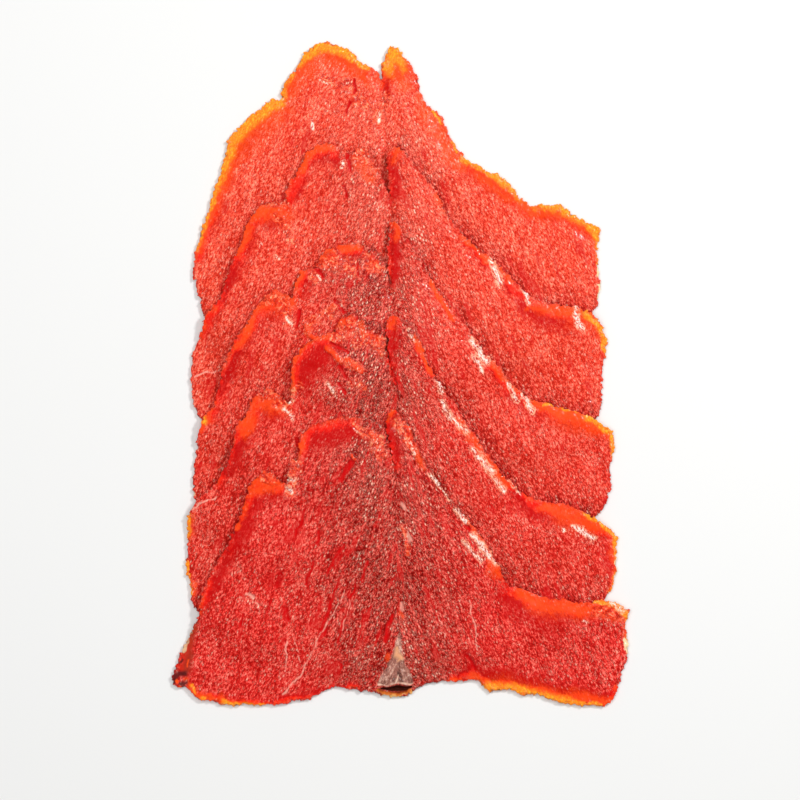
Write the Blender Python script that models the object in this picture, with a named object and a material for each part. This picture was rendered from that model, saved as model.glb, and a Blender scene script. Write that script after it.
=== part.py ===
# Five slices of cold-smoked sockeye salmon, laid back on each other like shingles.
# The cuts keep the shape of the fillet: the narrow tail end is at +Y and +Z is up.
# Each slice is one solid. Its left half has an inner and an outer lobe, and a split along
# the lateral line parts them from the right half, which runs up into a pointed tip.

import math

import bmesh
import bpy
import numpy as np
from mathutils import geometry

MM = 0.001
COLLECTION = "sliced_salmon"
FLESH_ROUGHNESS = 0.32
SHARP_ANGLE = math.radians(50)

# Driving dimensions of a slice, in millimetres
FULL_THICKNESS = 2.45
RIM_THICKNESS = 0.85
RIM_WIDTH = 5.0
LIP_RISE = 0.7
LIP_WIDTH = 1.5
SEAM_DEPTH = 0.9
SEAM_WIDTH = 1.5
FAT_RISE = 0.8
FAT_SLOPE = 1.4
SWELL = 0.14
SWELL_LENGTHS = (21.0, 12.4, 8.8, 6.8)
SWELL_TURN = 2.4
CRINKLE = 0.38
HEEL_DROP = 14.0
HEEL_KNOTS = (0.06, 0.2, 0.4, 0.6, 0.8, 0.94)

# How a slice lies on the ones under it
LAYER_GAP = 0.42
DRAPE_REACH = 4
CELL = 1.0

# Spacing of the mesh points: close where a slice shows, wide where the next one covers it
SPLINE_STEPS = 12
RIM_STEP = 2.5
HEEL_STEP = 6.0
INSET = 2.3
INSET_STEP = 3.2
CLOSEST = 1.6
SEAM_STEP = 2.8
SEAM_SIDE = 1.8
FAT_STEP = 2.2
FAT_RINGS = (1.12, 0.72)
SHOWN_PITCH = 4.3
HIDDEN_PITCH = 8.6
GRID_CLEARANCE = 0.5
NUDGE = 0.12
HIDDEN_DEPTH = 5.0
TOLERANCE = 1e-5

# The visible outline of each slice in millimetres, x from the lateral line and y from the
# lowest edge of the stack. It runs anticlockwise: crown is the inner lobe from the root of
# the split, wing the outer lobe and left side, flank the right end, crest the upper right
# edge up to the tip and down the other side of the split. The last slice also shows its heel,
# and the fat that fills the lateral line there. Colours are linear.
SLICES = [
    {
        "name": "slice_1",
        "colour": (0.68, 0.062, 0.024, 1.0),
        "seed": 11,
        "crown": [(-4.8, 187.5), (-6.9, 191.4), (-10.5, 193.6), (-13.5, 196.6), (-18.0, 198.7),
                  (-22.5, 199.5), (-26.4, 197.4), (-29.1, 194.1), (-30.6, 190.8), (-33.6, 187.6),
                  (-34.8, 184.5), (-34.2, 181.5)],
        "wing": [(-38.4, 182.7), (-40.2, 179.8), (-42.9, 178.2), (-47.1, 174.3), (-50.7, 169.8),
                 (-51.9, 164.1), (-54.3, 156.6), (-56.4, 149.7), (-60.0, 139.2), (-60.9, 133.5),
                 (-60.6, 127.5), (-59.4, 122.1), (-57.3, 116.7)],
        "flank": [(59.1, 117.9), (60.9, 122.7), (60.6, 128.4), (60.0, 137.1), (60.9, 142.8)],
        "crest": [(57.5, 145.4), (50.7, 149.1), (49.2, 151.6), (45.3, 150.6), (42.3, 151.4),
                  (40.8, 149.6), (36.9, 152.7), (33.6, 156.9), (30.3, 159.6), (26.7, 160.8),
                  (23.7, 164.1), (21.6, 163.2), (16.8, 169.2), (14.7, 174.6), (11.7, 178.8),
                  (8.4, 180.9), (6.9, 186.6), (4.5, 192.6), (1.8, 195.9), (-1.5, 199.2),
                  (-3.4, 196.4), (-4.2, 192.6)],
        "seam_end": (0.5, 103.0),
    },
    {
        "name": "slice_2",
        "colour": (0.66, 0.055, 0.024, 1.0),
        "seed": 22,
        "crown": [(-1.8, 152.1), (-5.4, 160.6), (-8.1, 166.0), (-12.0, 168.0), (-14.6, 165.6),
                  (-18.0, 168.7), (-22.5, 169.2), (-26.4, 166.6), (-28.8, 162.9), (-30.6, 159.0),
                  (-33.3, 155.6), (-34.2, 151.0)],
        "wing": [(-37.8, 151.6), (-41.1, 150.0), (-43.8, 147.0), (-46.2, 140.7), (-48.9, 134.1),
                 (-51.3, 127.8), (-54.0, 121.5), (-57.6, 117.0), (-58.8, 111.6), (-60.9, 106.2),
                 (-61.8, 99.0), (-60.9, 92.4), (-58.5, 85.8)],
        "flank": [(60.6, 87.6), (61.2, 93.0), (61.8, 102.0), (62.7, 109.5), (61.8, 114.0)],
        "crest": [(58.8, 117.6), (55.0, 119.6), (48.6, 120.9), (42.0, 122.1), (37.5, 125.4),
                  (32.4, 130.8), (28.5, 134.7), (22.5, 138.9), (18.0, 144.0), (14.4, 148.8),
                  (12.0, 153.4), (9.6, 157.5), (5.4, 162.6), (1.8, 167.0), (-1.0, 168.4),
                  (-2.9, 165.9), (-2.4, 160.0)],
        "seam_end": (0.5, 73.0),
    },
    {
        "name": "slice_3",
        "colour": (0.64, 0.048, 0.023, 1.0),
        "seed": 33,
        "crown": [(-1.5, 124.5), (-3.6, 130.5), (-4.9, 134.7), (-6.9, 137.7), (-12.6, 139.2),
                  (-16.2, 138.9), (-20.1, 138.0), (-22.5, 135.9), (-23.4, 132.9), (-24.9, 131.1),
                  (-28.2, 130.8), (-30.3, 128.7), (-31.2, 125.7), (-31.5, 122.1)],
        "wing": [(-34.2, 124.8), (-36.9, 125.4), (-39.0, 122.7), (-42.3, 119.7), (-44.7, 115.5),
                 (-47.1, 112.2), (-49.5, 107.7), (-51.9, 102.9), (-53.1, 96.6), (-54.3, 91.2),
                 (-58.2, 86.1), (-59.4, 81.6), (-60.3, 74.7), (-61.5, 68.1), (-60.0, 60.6)],
        "flank": [(59.7, 56.9), (62.7, 61.2), (64.5, 66.0), (63.9, 71.7), (65.1, 78.0),
                  (65.7, 82.2)],
        "crest": [(62.7, 83.6), (60.0, 86.1), (55.8, 87.8), (50.4, 89.4), (44.4, 91.5),
                  (40.0, 92.2), (33.6, 97.5), (31.5, 101.7), (27.6, 104.4), (24.9, 108.9),
                  (21.0, 113.7), (16.8, 119.1), (12.0, 125.7), (7.5, 133.2), (3.6, 139.5),
                  (0.9, 143.9), (-0.9, 146.1), (-2.7, 143.7), (-2.5, 136.5)],
        "seam_end": (1.0, 45.0),
    },
    {
        "name": "slice_4",
        "colour": (0.62, 0.045, 0.022, 1.0),
        "seed": 44,
        "crown": [(-0.6, 97.5), (-2.6, 103.5), (-3.8, 108.6), (-4.3, 113.1), (-6.6, 115.8),
                  (-9.9, 115.2), (-12.0, 117.9), (-15.0, 118.5), (-18.3, 113.4), (-22.5, 111.3),
                  (-26.1, 109.7), (-29.1, 107.1), (-30.9, 104.1), (-31.8, 100.2), (-31.8, 95.7),
                  (-30.9, 91.2)],
        "wing": [(-35.4, 94.0), (-38.7, 96.3), (-41.1, 94.5), (-43.8, 92.1), (-45.3, 87.6),
                 (-47.7, 84.6), (-49.8, 75.6), (-51.3, 71.1), (-54.3, 66.9), (-58.2, 63.6),
                 (-61.2, 60.3), (-62.7, 56.1), (-63.0, 51.0), (-62.4, 46.5), (-63.6, 43.5),
                 (-62.1, 38.7), (-62.1, 34.5), (-60.9, 29.7)],
        "flank": [(62.7, 33.3), (65.1, 37.2), (65.7, 42.6), (65.7, 48.6), (66.3, 52.8)],
        "crest": [(63.3, 53.9), (59.7, 56.3), (55.8, 58.6), (50.4, 60.9), (44.4, 62.1),
                  (39.3, 63.0), (35.4, 66.0), (29.4, 73.5), (25.5, 78.9), (21.3, 84.6),
                  (17.4, 90.6), (13.2, 96.6), (9.9, 102.6), (6.3, 110.1), (3.0, 115.1),
                  (-1.2, 117.9), (-2.9, 115.0), (-2.2, 108.6)],
        "seam_end": (1.5, 17.0),
    },
    {
        "name": "slice_5",
        "colour": (0.58, 0.040, 0.022, 1.0),
        "seed": 55,
        "crown": [(0.3, 68.7), (-2.0, 75.6), (-3.6, 80.1), (-4.6, 84.0), (-7.2, 86.2),
                  (-14.1, 87.6), (-18.0, 87.0), (-21.6, 86.1), (-25.8, 84.3), (-28.5, 82.0),
                  (-28.8, 78.6), (-29.7, 75.0), (-33.0, 72.6), (-32.1, 66.0)],
        "wing": [(-36.3, 69.9), (-39.6, 72.0), (-41.1, 69.3), (-43.5, 67.8), (-45.9, 59.7),
                 (-47.7, 56.1), (-49.8, 50.7), (-51.9, 46.5), (-55.2, 41.7), (-57.3, 36.6),
                 (-59.1, 30.6), (-60.6, 24.6), (-63.3, 20.1), (-66.3, 11.7), (-67.5, 7.5),
                 (-65.7, 5.4), (-62.7, 6.4)],
        "heel": [(-61.0, 3.3), (-58.2, 1.5), (-55.5, 2.6), (-51.6, 0.3), (-45.6, 0.6),
                 (-38.1, 0.6), (-30.6, 1.8), (-24.6, 3.0), (-20.7, 5.4), (-16.5, 6.3),
                 (-11.1, 5.1), (-5.7, 4.5), (-1.8, 2.7), (2.4, 3.3), (6.0, 5.7), (10.5, 7.5),
                 (19.5, 7.8), (22.8, 9.0), (24.9, 7.2), (27.0, 4.8), (33.0, 5.7), (37.5, 3.6),
                 (42.0, 3.9), (46.5, 1.8), (53.4, 0.6), (61.8, 0.3)],
        "flank": [(65.1, 3.0), (66.6, 7.5), (69.6, 14.7), (68.7, 21.6), (69.0, 26.1),
                  (69.9, 28.8)],
        "crest": [(65.7, 31.8), (60.3, 32.6), (54.9, 31.5), (48.9, 32.7), (42.9, 33.9),
                  (35.4, 36.0), (32.4, 37.5), (31.2, 40.5), (27.6, 47.7), (24.3, 52.5),
                  (20.7, 56.7), (16.5, 61.8), (12.9, 67.2), (9.9, 71.7), (7.2, 76.2),
                  (4.8, 81.6), (3.0, 85.8), (-1.5, 90.0), (-3.0, 87.6), (-1.8, 80.0)],
        "seam_end": (0.5, 24.0),
        "fat": [(0.6, 23.4), (-5.9, 6.8), (5.6, 7.4)],
    },
]


def clear_scene():
    for obj in list(bpy.data.objects):
        bpy.data.objects.remove(obj, do_unlink=True)


def smoothstep(t):
    t = np.clip(t, 0.0, 1.0)
    return t * t * (3.0 - 2.0 * t)


def hidden_heel(start, end):
    # The lower edge of a slice that the next one covers: a shallow, blunt curve.
    points = []
    for t in HEEL_KNOTS:
        drop = HEEL_DROP * (1.0 - (2.0 * t - 1.0) ** 4)
        points.append((start[0] + (end[0] - start[0]) * t, start[1] + (end[1] - start[1]) * t - drop))
    return points


def spline_through(knots):
    # Catmull-Rom curve through a closed ring of knots, with the same steps in each span.
    knots = np.array(knots, float)
    before, after, further = (np.roll(knots, shift, axis=0) for shift in (1, -1, -2))
    spans = []
    for t in np.arange(SPLINE_STEPS) / SPLINE_STEPS:
        spans.append(0.5 * (2 * knots + (after - before) * t
                            + (2 * before - 5 * knots + 4 * after - further) * t ** 2
                            + (3 * knots - before - 3 * after + further) * t ** 3))
    return np.stack(spans, axis=1).reshape(-1, 2)


def even_ring(curve, step_of):
    # Points along a closed curve, step_of(point) apart.
    lengths = np.linalg.norm(np.roll(curve, -1, axis=0) - curve, axis=1)
    weights = lengths / np.array([step_of(point) for point in curve])
    along = np.concatenate([[0.0], np.cumsum(weights)])
    count = int(round(along[-1]))
    wanted = np.arange(count) * along[-1] / count
    closed = np.vstack([curve, curve[:1]])
    return np.stack([np.interp(wanted, along, closed[:, axis]) for axis in (0, 1)], axis=1)


def outward(ring):
    # Outward normals of an anticlockwise ring.
    tangent = np.roll(ring, -1, axis=0) - np.roll(ring, 1, axis=0)
    normal = np.stack([tangent[:, 1], -tangent[:, 0]], axis=1)
    return normal / np.linalg.norm(normal, axis=1, keepdims=True)


def depth_inside(ring, points):
    # Distance from each point to the ring, positive inside it and negative outside.
    starts, ends = ring, np.roll(ring, -1, axis=0)
    nearest = np.full(len(points), np.inf)
    inside = np.zeros(len(points), bool)
    for (ax, ay), (bx, by) in zip(starts, ends):
        edge = np.array([bx - ax, by - ay])
        offset = points - (ax, ay)
        t = np.clip(offset @ edge / (edge @ edge), 0.0, 1.0)
        nearest = np.minimum(nearest, np.linalg.norm(offset - t[:, None] * edge, axis=1))
        if ay != by:
            crossing = ax + (points[:, 1] - ay) / (by - ay) * (bx - ax)
            inside ^= ((ay > points[:, 1]) != (by > points[:, 1])) & (points[:, 0] < crossing)
    return np.where(inside, nearest, -nearest)


def line_distance(start, end, points):
    start, edge = np.array(start), np.array(end) - np.array(start)
    offset = points - start
    t = np.clip(offset @ edge / (edge @ edge), 0.0, 1.0)
    return np.linalg.norm(offset - t[:, None] * edge, axis=1)


def swell(points, seed):
    # Low, wide waves in the cut face, different on each slice.
    total = np.zeros(len(points))
    for number, length in enumerate(SWELL_LENGTHS, 1):
        turn = seed + SWELL_TURN * number
        run = points @ np.array([math.cos(turn), math.sin(turn)])
        total += np.sin(2.0 * math.pi * run / length + seed * number) * length / SWELL_LENGTHS[0]
    return SWELL * total


def outline_of(spec):
    # The slice's edge: the named stretches in one smooth ring, crinkled where it shows.
    heel = spec.get("heel") or hidden_heel(spec["wing"][-1], spec["flank"][0])
    knots = spec["crown"] + spec["wing"] + heel + spec["flank"] + spec["crest"]
    curve = spline_through(knots)
    heel_top = min(spec["wing"][-1][1], spec["flank"][0][1])

    def step_of(point):
        covered = "heel" not in spec and point[1] < heel_top
        return HEEL_STEP if covered else RIM_STEP

    ring = even_ring(curve, step_of)
    shown = np.array([step_of(point) == RIM_STEP for point in ring])
    crinkle = np.random.default_rng(spec["seed"]).uniform(-CRINKLE, CRINKLE, len(ring))
    return ring + outward(ring) * (crinkle * shown)[:, None], shown


def thickness(spec, ring, points):
    # Thin at the rim, full inside, creased along the lateral line.
    depth = depth_inside(ring, points)
    body = RIM_THICKNESS + (FULL_THICKNESS - RIM_THICKNESS) * smoothstep(depth / RIM_WIDTH)
    inner = smoothstep((depth - LIP_WIDTH) / RIM_WIDTH)
    crease = line_distance(spec["crown"][0], spec["seam_end"], points)
    groove = SEAM_DEPTH * np.exp(-((crease / SEAM_WIDTH) ** 2))
    relief = (swell(points, spec["seed"]) - groove) * inner
    if "fat" in spec:
        inside_fat = depth_inside(np.array(spec["fat"]), points)
        relief += FAT_RISE * smoothstep(inside_fat / FAT_SLOPE + 0.5)
    return body + relief


def lip(ring, points):
    # The dried rim curls up a little from what it lies on.
    depth = np.maximum(depth_inside(ring, points), 0.0)
    return LIP_RISE * np.exp(-((depth / LIP_WIDTH) ** 2))


def shifted(field, dx, dy):
    # The field moved by whole cells, with its edge values carried on.
    reach = max(abs(dx), abs(dy))
    padded = np.pad(field, reach, mode="edge")
    rows, columns = field.shape
    return padded[reach + dy:reach + dy + rows, reach + dx:reach + dx + columns]


def draped(support):
    # A soft sheet over the support: the highest cell in reach, averaged over the same reach,
    # so that it never dips below the support.
    disc = [(dx, dy) for dx in range(-DRAPE_REACH, DRAPE_REACH + 1)
            for dy in range(-DRAPE_REACH, DRAPE_REACH + 1) if dx * dx + dy * dy <= DRAPE_REACH ** 2]
    highest = np.max([shifted(support, dx, dy) for dx, dy in disc], axis=0)
    return np.mean([shifted(highest, dx, dy) for dx, dy in disc], axis=0)


def sampled(field, axes, points):
    # The field between its cells, by bilinear interpolation.
    xs, ys = axes
    column = np.clip((points[:, 0] - xs[0]) / CELL, 0, len(xs) - 1.001)
    row = np.clip((points[:, 1] - ys[0]) / CELL, 0, len(ys) - 1.001)
    i, j = row.astype(int), column.astype(int)
    u, v = row - i, column - j
    return ((1 - u) * (1 - v) * field[i, j] + (1 - u) * v * field[i, j + 1]
            + u * (1 - v) * field[i + 1, j] + u * v * field[i + 1, j + 1])


def lattice(pitch, low, high):
    # Staggered rows of points, each nudged by a fixed rule so that no four lie on one circle.
    row_height = pitch * math.sqrt(0.75)
    points = []
    for row in range(int((high[1] - low[1]) / row_height) + 2):
        for column in range(int((high[0] - low[0]) / pitch) + 2):
            nudge = pitch * NUDGE * math.sin(13 * row + 7 * column)
            points.append((low[0] + (column + 0.5 * (row % 2)) * pitch + nudge,
                           low[1] + row * row_height - nudge))
    return np.array(points)


def seam_points(spec):
    # Three rows along the lateral line: the crease and its two banks.
    start, end = np.array(spec["crown"][0]), np.array(spec["seam_end"])
    count = int(np.linalg.norm(end - start) / SEAM_STEP)
    centre = start + (end - start) * (np.arange(1, count) / count)[:, None]
    return np.vstack([centre + (side, 0.0) for side in (0.0, -SEAM_SIDE, SEAM_SIDE)])


def fat_points(spec):
    # Around the fat, one ring just outside its slope and one inside.
    middle = np.mean(spec["fat"], axis=0)
    rings = [middle + (np.array(spec["fat"]) - middle) * share for share in FAT_RINGS]
    return np.vstack([even_ring(ring, lambda point: FAT_STEP) for ring in rings])


def is_covered(covers, points):
    # True well inside the outline of a slice that lies on top.
    covered = np.zeros(len(points), bool)
    for cover in covers:
        covered |= depth_inside(cover, points) > HIDDEN_DEPTH
    return covered


def inner_points(spec, ring, shown, covers, low, high):
    # The creases, a ring just inside the visible rim, then a lattice, coarse where covered.
    creases = seam_points(spec)
    if "fat" in spec:
        creases = np.vstack([creases, fat_points(spec)])
    creases = creases[(depth_inside(ring, creases) > INSET) & ~is_covered(covers, creases)]

    inset = even_ring(ring - outward(ring) * INSET, lambda point: INSET_STEP)
    visible_rim = ring[shown]
    near = np.array([np.linalg.norm(visible_rim - point, axis=1).min() < INSET_STEP for point in inset])
    inset = inset[near & (depth_inside(ring, inset) > CLOSEST)]

    shown_grid = lattice(SHOWN_PITCH, low, high)
    shown_grid = shown_grid[(depth_inside(ring, shown_grid) > INSET + GRID_CLEARANCE * SHOWN_PITCH)
                            & ~is_covered(covers, shown_grid)]
    hidden_grid = lattice(HIDDEN_PITCH, low, high)
    hidden_grid = hidden_grid[(depth_inside(ring, hidden_grid) > GRID_CLEARANCE * HIDDEN_PITCH)
                              & is_covered(covers, hidden_grid)]

    # A point too close to an earlier one would only make slivers.
    apart = []
    for x, y in np.vstack([creases, inset, shown_grid, hidden_grid]):
        if all(abs(x - other_x) + abs(y - other_y) > CLOSEST for other_x, other_y in apart):
            apart.append((x, y))
    return apart


def flesh_material(spec):
    material = bpy.data.materials.new(spec["name"] + "_flesh")
    material.use_nodes = True
    shader = material.node_tree.nodes["Principled BSDF"]
    shader.inputs["Base Color"].default_value = spec["colour"]
    shader.inputs["Roughness"].default_value = FLESH_ROUGHNESS
    shader.inputs["Metallic"].default_value = 0.0
    return material


def slice_object(spec, ring, inner, low_side, high_side, middle, collection):
    # The lower face is triangulated inside the outline, then extruded up to the cut face.
    coords, _, faces, _, _, _ = geometry.delaunay_2d_cdt(
        [tuple(point) for point in ring] + inner, [], [list(range(len(ring)))], 1, TOLERANCE)
    points = np.array([tuple(co) for co in coords])

    bm = bmesh.new()
    top = bm.verts.layers.float.new("top")
    verts = []
    for (x, y), low, high in zip(points - middle, low_side(points), high_side(points)):
        vert = bm.verts.new((x, y, low))
        vert[top] = high
        verts.append(vert)
    lower_face = [bm.faces.new([verts[i] for i in face]) for face in faces]
    raised = bmesh.ops.extrude_face_region(bm, geom=lower_face, use_keep_orig=True)["geom"]
    for item in raised:
        if isinstance(item, bmesh.types.BMVert):
            item.co.z = item[top]
    bmesh.ops.recalc_face_normals(bm, faces=bm.faces)
    bmesh.ops.scale(bm, vec=(MM, MM, MM), verts=bm.verts)

    mesh = bpy.data.meshes.new(spec["name"])
    bm.to_mesh(mesh)
    bm.free()
    mesh.attributes.remove(mesh.attributes["top"])
    mesh.materials.append(flesh_material(spec))
    mesh.shade_smooth()
    mesh.set_sharp_from_angle(angle=SHARP_ANGLE)
    collection.objects.link(bpy.data.objects.new(spec["name"], mesh))


def build():
    clear_scene()
    collection = bpy.data.collections.new(COLLECTION)
    bpy.context.scene.collection.children.link(collection)

    outlines = [outline_of(spec) for spec in SLICES]
    everything = np.vstack([ring for ring, _ in outlines])
    low_corner, high_corner = everything.min(axis=0), everything.max(axis=0)
    middle = (low_corner + high_corner) / 2.0
    margin = DRAPE_REACH + 2
    axes = [np.arange(low_corner[axis] - margin, high_corner[axis] + margin, CELL) for axis in (0, 1)]
    cells = np.array([(x, y) for y in axes[1] for x in axes[0]])
    shape = (len(axes[1]), len(axes[0]))

    support = np.zeros(shape)
    for index, (spec, (ring, shown)) in enumerate(zip(SLICES, outlines)):
        rest = draped(support)
        inside = (depth_inside(ring, cells) > -CELL).reshape(shape)
        top = rest + (thickness(spec, ring, cells) + lip(ring, cells)).reshape(shape)

        def low_side(points, rest=rest, ring=ring):
            return sampled(rest, axes, points) + lip(ring, points)

        def high_side(points, low_side=low_side, spec=spec, ring=ring):
            return low_side(points) + thickness(spec, ring, points)

        covers = [other for other, _ in outlines[index + 1:]]
        inner = inner_points(spec, ring, shown, covers, low_corner, high_corner)
        slice_object(spec, ring, inner, low_side, high_side, middle, collection)
        support = np.where(inside, top + LAYER_GAP, support)


build()
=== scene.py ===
import bmesh
import bpy
import numpy as np
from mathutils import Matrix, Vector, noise


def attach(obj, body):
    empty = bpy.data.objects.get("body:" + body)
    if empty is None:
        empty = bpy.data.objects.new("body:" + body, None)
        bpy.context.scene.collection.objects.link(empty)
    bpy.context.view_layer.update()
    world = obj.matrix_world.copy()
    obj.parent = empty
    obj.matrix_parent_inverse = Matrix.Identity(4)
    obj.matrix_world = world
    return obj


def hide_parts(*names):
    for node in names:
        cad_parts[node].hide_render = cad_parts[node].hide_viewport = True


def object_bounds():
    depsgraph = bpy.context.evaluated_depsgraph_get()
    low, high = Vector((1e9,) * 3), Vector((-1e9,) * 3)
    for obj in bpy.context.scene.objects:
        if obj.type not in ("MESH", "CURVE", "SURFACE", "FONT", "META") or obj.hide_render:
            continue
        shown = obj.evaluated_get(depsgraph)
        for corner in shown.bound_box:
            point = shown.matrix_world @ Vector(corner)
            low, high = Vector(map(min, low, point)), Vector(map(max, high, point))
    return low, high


mm = 0.001
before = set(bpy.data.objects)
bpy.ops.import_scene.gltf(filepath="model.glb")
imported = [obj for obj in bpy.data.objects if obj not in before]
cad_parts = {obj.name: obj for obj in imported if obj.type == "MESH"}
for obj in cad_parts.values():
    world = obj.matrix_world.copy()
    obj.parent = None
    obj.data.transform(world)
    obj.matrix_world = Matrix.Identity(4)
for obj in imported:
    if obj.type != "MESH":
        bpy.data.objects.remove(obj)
cadLow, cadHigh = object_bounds()
print("frame loaded:", sorted(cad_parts))

stack = {
    "lateralLineX": -0.93,  # from the frame's origin
    "weldDistance": 0.01,
    "topNormal": 0.2,       # faces that look up more than this are the cut face
    "shownNormal": -0.3,    # the cut face and the rim's wall
    "coverDepth": 2.5,      # a slice hides what lies this far inside its outline
    "noiseSeed": 7,
}
lowEdgeY = cadLow.y / mm
noise.seed_set(stack["noiseSeed"])  # without it the noise differs from run to run


# Hand work: objects, selection, modifiers

def putDown():
    active = bpy.context.view_layer.objects.active
    if active and active.mode != "OBJECT":
        bpy.ops.object.mode_set(mode="OBJECT")
    bpy.ops.object.select_all(action="DESELECT")


def pickUp(piece):
    putDown()
    piece.select_set(True)
    bpy.context.view_layer.objects.active = piece


def applyModifier(piece, kind, **settings):
    pickUp(piece)
    modifier = piece.modifiers.new(kind.lower(), kind)
    for name, value in settings.items():
        setattr(modifier, name, value)
    bpy.ops.object.modifier_apply(modifier=modifier.name)


def cloudTexture(name, size, basis, depth):
    texture = bpy.data.textures.new(name, "CLOUDS")
    texture.noise_scale = size * mm
    texture.noise_basis = basis
    texture.noise_depth = depth
    return texture


def freshCopy(nodeName, pieceName):
    # a CAD node's mesh is loose triangles, so its copy is merged before any work
    piece = bpy.data.objects.new(pieceName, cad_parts[nodeName].data.copy())
    bpy.context.scene.collection.objects.link(piece)
    piece.data.name = pieceName
    piece.data.materials.clear()
    pickUp(piece)
    bpy.ops.object.mode_set(mode="EDIT")
    bpy.ops.mesh.select_all(action="SELECT")
    bpy.ops.mesh.remove_doubles(threshold=stack["weldDistance"] * mm)
    bpy.ops.object.mode_set(mode="OBJECT")
    return piece


# Measuring in the stack's millimetres

def cornersOf(mesh):
    corners = np.empty(len(mesh.vertices) * 3)
    mesh.vertices.foreach_get("co", corners)
    return corners.reshape(-1, 3)


def onStack(corners):
    flat = corners[:, :2] / mm
    return flat - (stack["lateralLineX"], lowEdgeY)


def ease(value):
    value = np.clip(value, 0.0, 1.0)
    return value * value * (3.0 - 2.0 * value)


def rimOf(mesh):
    # the outline seen from above, in order: edges that only one upward face has
    links = {}
    for face in mesh.polygons:
        if face.normal.z > stack["topNormal"]:
            for a, b in face.edge_keys:
                links[(a, b)] = links.get((a, b), 0) + 1
    beside = {}
    for (a, b), count in links.items():
        if count == 1:
            beside.setdefault(a, []).append(b)
            beside.setdefault(b, []).append(a)
    first = next(iter(beside))
    order, last = [first], None
    while True:
        here = order[-1]
        following = [v for v in beside[here] if v != last][0]
        if following == first:
            break
        last = here
        order.append(following)
    return onStack(cornersOf(mesh)[order])


def depthInside(ring, points):
    # distance to the outline, positive inside it
    nearest = np.full(len(points), np.inf)
    inside = np.zeros(len(points), bool)
    for (ax, ay), (bx, by) in zip(ring, np.roll(ring, -1, axis=0)):
        edge = np.array([bx - ax, by - ay])
        offset = points - (ax, ay)
        t = np.clip(offset @ edge / max(edge @ edge, 1e-9), 0.0, 1.0)
        nearest = np.minimum(nearest, np.linalg.norm(offset - t[:, None] * edge, axis=1))
        if ay != by:
            crossing = ax + (points[:, 1] - ay) / (by - ay) * (bx - ax)
            inside ^= ((ay > points[:, 1]) != (by > points[:, 1])) & (points[:, 0] < crossing)
    return np.where(inside, nearest, -nearest)


def strokeMask(points, strokes):
    # 1 on a stroke's middle line, 0.5 at its radius and 0 at twice that; a stroke is (x, y, radius)s
    mask = np.zeros(len(points))
    for stroke in strokes:
        for (ax, ay, ar), (bx, by, br) in zip(stroke, stroke[1:]):
            edge = np.array([bx - ax, by - ay])
            offset = points - (ax, ay)
            t = np.clip(offset @ edge / (edge @ edge), 0.0, 1.0)
            distance = np.linalg.norm(offset - t[:, None] * edge, axis=1)
            mask = np.maximum(mask, 1.0 - 0.5 * distance / (ar + (br - ar) * t))
    return np.clip(mask, 0.0, 1.0)


def wander(points, size, reach, seed):
    # moves the points by a smooth noise, so that what is drawn at them wanders
    layer = seed * brush["seedStep"]
    shifts = [noise.noise_vector((x / size, y / size, layer)) for x, y in points]
    return points + np.array(shifts)[:, :2] * reach


def widened(strokes, times):
    return [[(x, y, radius * times) for x, y, radius in stroke] for stroke in strokes]


# Each slice's marks. The cut face is made finer by cuts, and tail and dusk say how light and how dark
# its flesh is. The notch runs down between the crown and the spike. The rest are brush strokes of
# (x, y, radius): gel is the smooth glossy flesh at the rim, deep its darker parts, warm the orange
# ones, amber a dried yellow rim, torn a crumbled edge, sheen a painted highlight on the wet flesh, wet a
# place with more painted glints, cream a sliver of skin, gash a dark wet cut, fold a raised lip and
# thread a line of tissue.

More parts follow.
